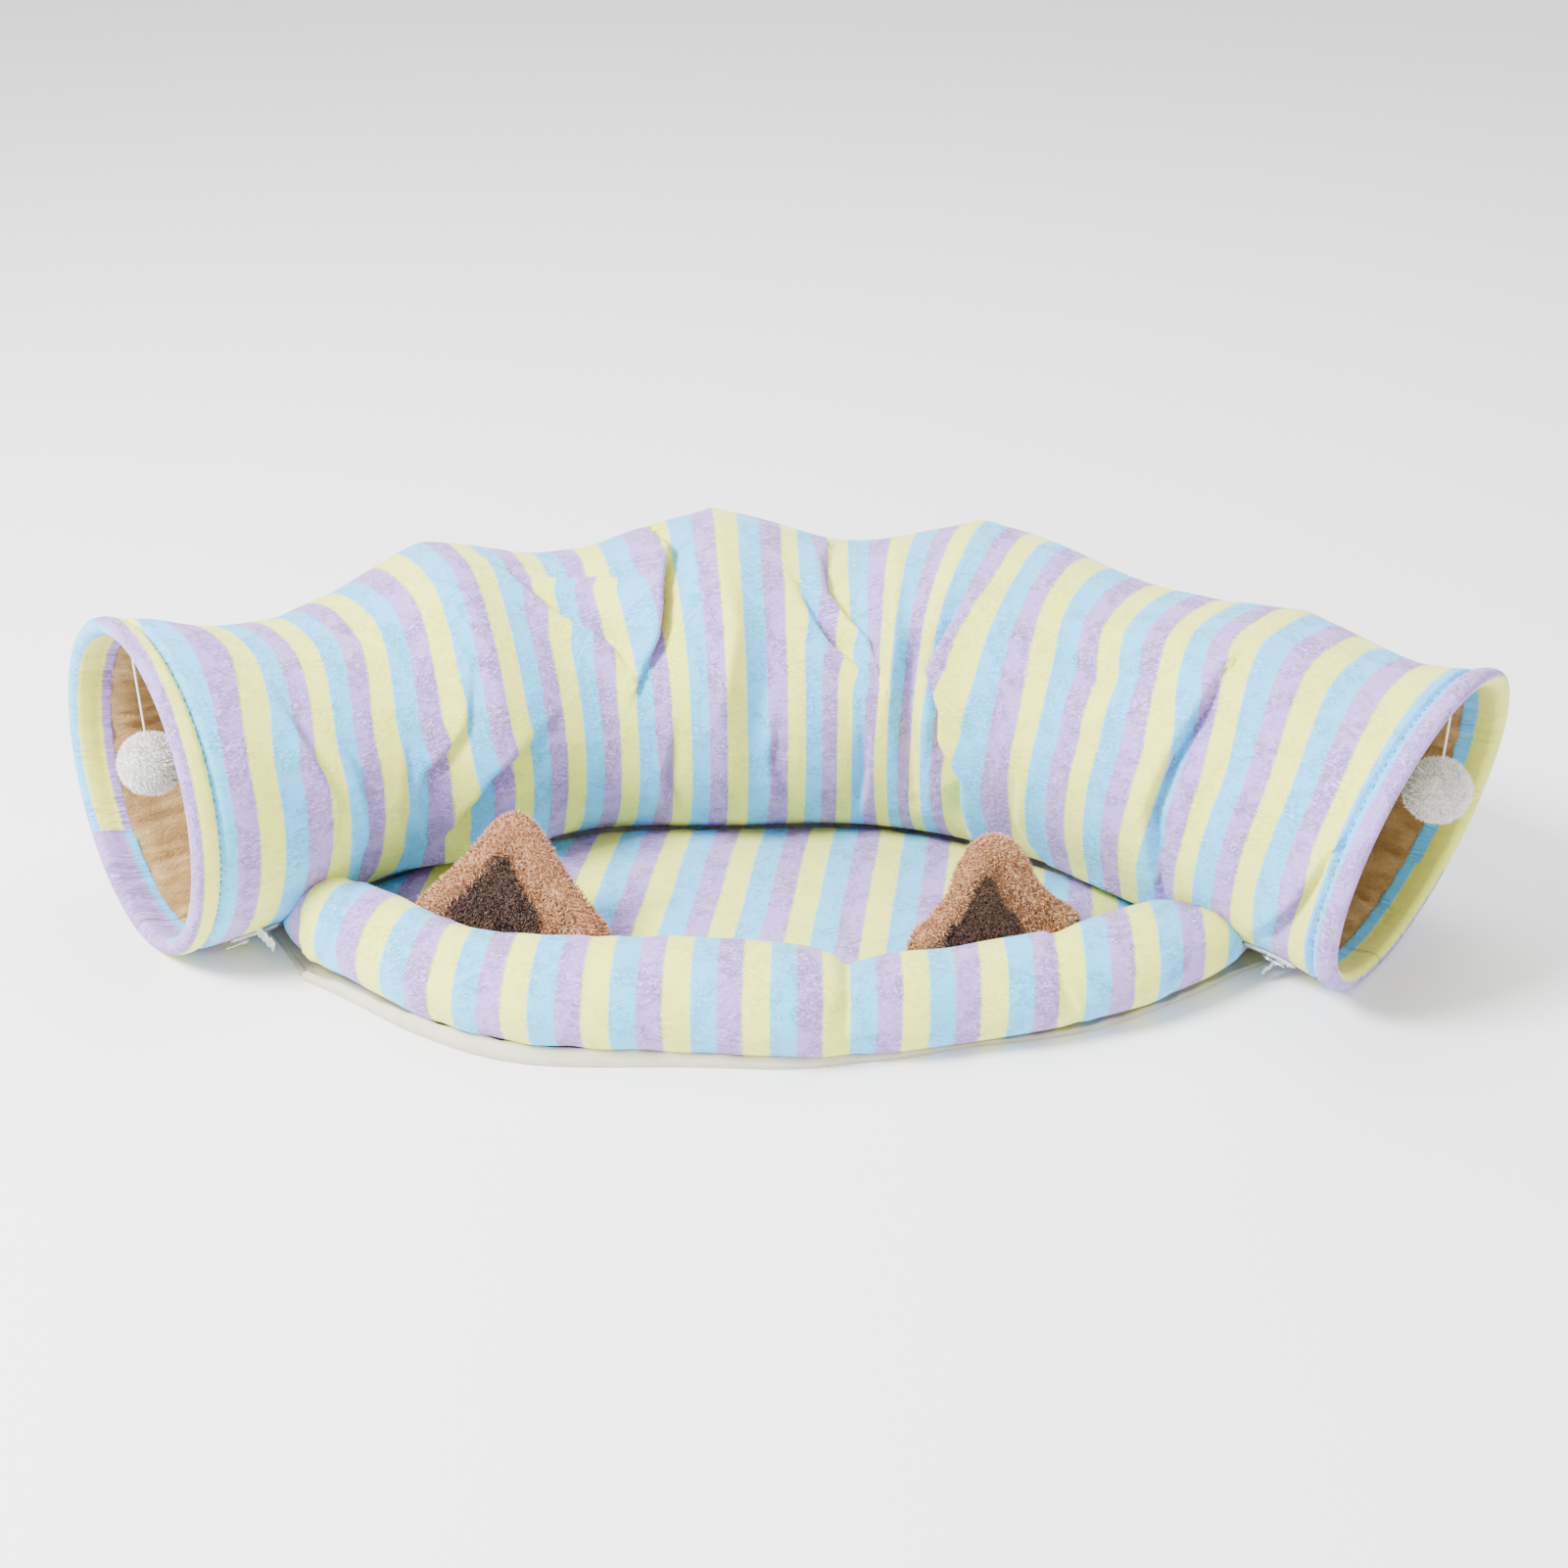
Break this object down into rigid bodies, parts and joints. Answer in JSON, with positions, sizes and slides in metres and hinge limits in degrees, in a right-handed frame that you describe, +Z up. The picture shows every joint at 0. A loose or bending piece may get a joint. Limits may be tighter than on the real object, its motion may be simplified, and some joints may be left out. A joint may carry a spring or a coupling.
{
  "type": "cat tunnel bed",
  "caption": "Bent striped plush tunnel, open at both mouths, round a padded half-moon bed with a bolster and ear-shaped pads.",
  "frame": {"origin": "middle of the underside, on the floor below the bed", "axes": "+X along the bed's width, from the left mouth to the right one as seen from the open side; +Y towards the bend of the tunnel; +Z up"},
  "size_m": [1.1545, 0.5366, 0.2696],
  "materials": {
    "striped_plush": "short soft pile in pale yellow, pale blue and lavender stripes",
    "tan_nylon": "thin crinkled nylon with a low sheen",
    "cream_cloth": "plain matt weave",
    "tan_plush": "short fluffy pile",
    "brown_plush": "short fluffy pile",
    "white_pile": "dense soft pile",
    "white_cord": "twisted cord",
    "zip_tape": "woven tape",
    "zip_metal": "bright cast metal"
  },
  "bodies": {
    "root": {"tunnel_cover": "striped_plush", "tunnel_lining": "tan_nylon", "mat": "striped_plush", "bolster": "striped_plush", "base_cloth": "cream_cloth", "ear_left_outer": "tan_plush", "ear_left_inner": "brown_plush", "ear_right_outer": "tan_plush", "ear_right_inner": "brown_plush", "pompom_left": "white_pile", "pompom_right": "white_pile", "pompom_cord_left": "white_cord", "pompom_cord_right": "white_cord", "zip_tape_left": "zip_tape", "zip_tape_right": "zip_tape", "zip_slider_left": "zip_metal", "zip_slider_right": "zip_metal"}
  },
  "joints": []
}
